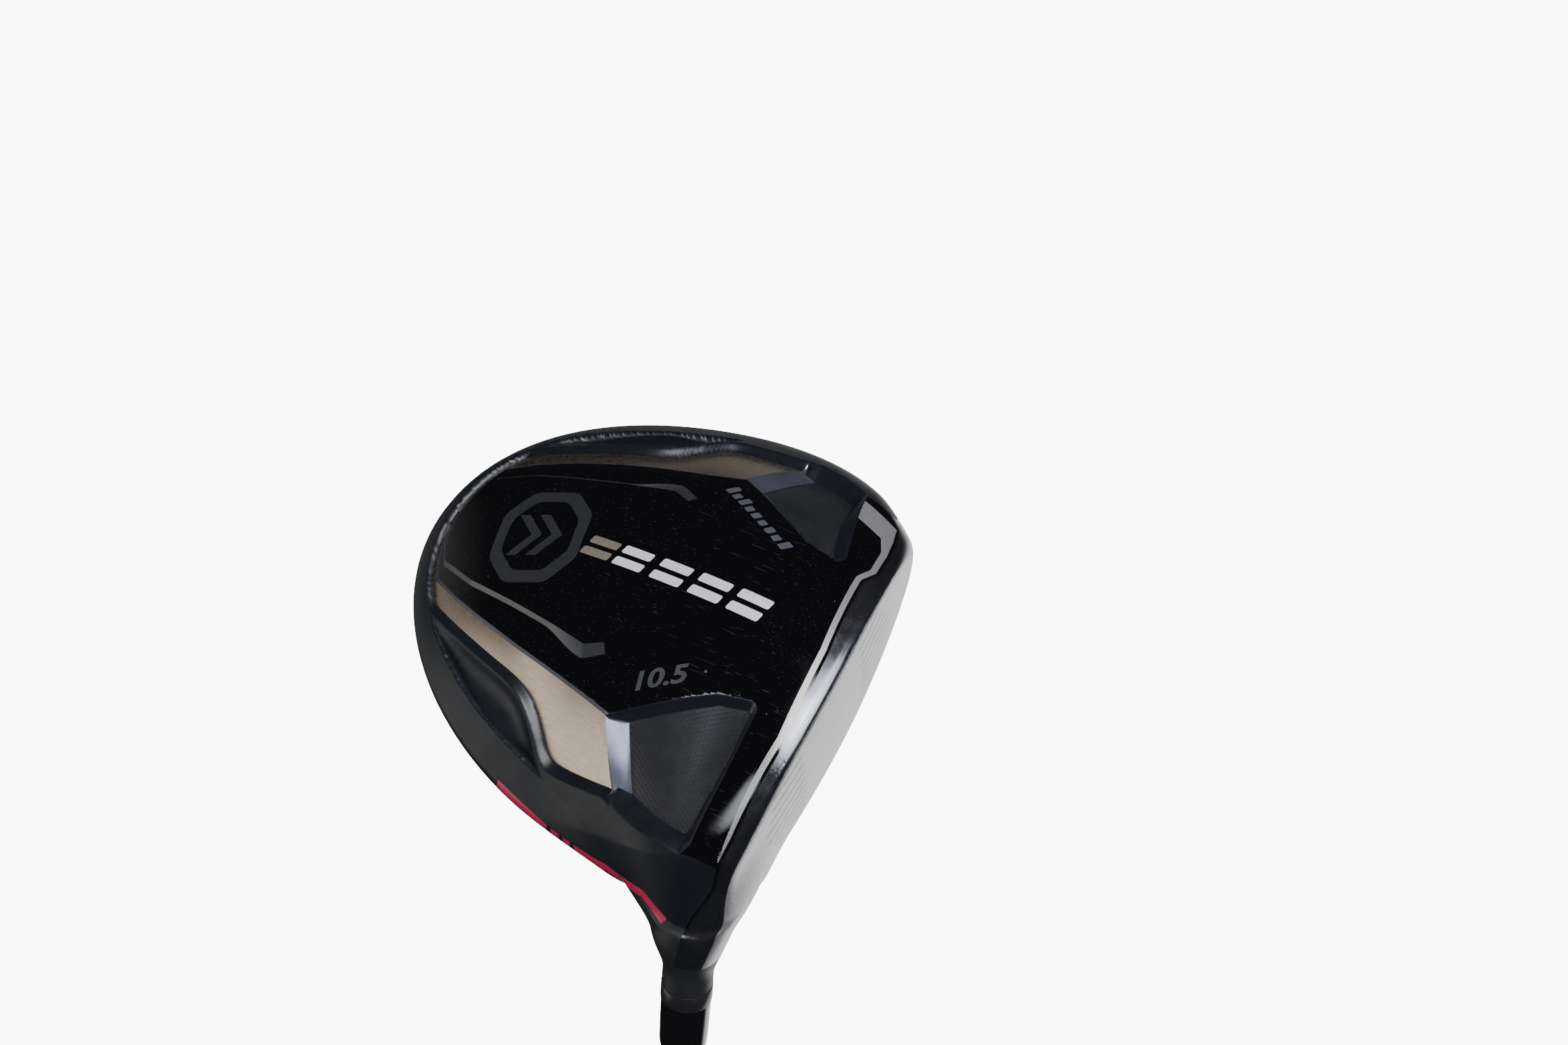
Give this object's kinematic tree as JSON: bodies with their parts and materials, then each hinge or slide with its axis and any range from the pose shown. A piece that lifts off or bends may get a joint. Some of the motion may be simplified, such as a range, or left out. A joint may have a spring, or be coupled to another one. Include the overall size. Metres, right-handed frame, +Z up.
{
  "type": "golf driver",
  "caption": "Golf driver: hollow metal wood head with bulged face, bonded hosel and ferrule, tapered composite shaft and slip-on rubber grip.",
  "frame": {"origin": "centre of the grip's flat butt end", "axes": "+Z up the shaft's axis from the butt to the head, -Y out of the club face towards the target, +X towards the toe"},
  "size_m": [0.1138, 0.1211, 1.1893],
  "materials": {
    "crown_paint": "high-gloss black paint over titanium",
    "body_coat": "black coating, mirror gloss in the middle of the sole and satin on the skirt",
    "face_metal": "fine brushed titanium with scored lines, dark at the edge",
    "trim_metal": "satin champagne",
    "pocket_plastic": "dark moulded texture",
    "weight_metal": "as cast",
    "hot_melt": "tacky amber",
    "collar_coat": "satin black",
    "ferrule_plastic": "polished black",
    "shaft_composite": "clear-coated black",
    "epoxy": "cured, dull",
    "plug_cork": "pressed cork",
    "tape": "paper tape",
    "grip_rubber": "matte, textured"
  },
  "bodies": {
    "root": {"crown_shell": "crown_paint", "sole_body": "body_coat", "face_cup": "face_metal", "sole_trim_band": "trim_metal", "toe_pocket_insert": "pocket_plastic", "heel_pocket_insert": "pocket_plastic", "rear_weight_pad": "weight_metal", "swing_weight_glue": "hot_melt", "hosel_collar": "collar_coat", "ferrule": "ferrule_plastic", "shaft": "shaft_composite", "tip_epoxy": "epoxy", "tip_plug": "plug_cork", "grip_tape": "tape", "grip": "grip_rubber", "butt_cap": "grip_rubber"}
  },
  "joints": []
}
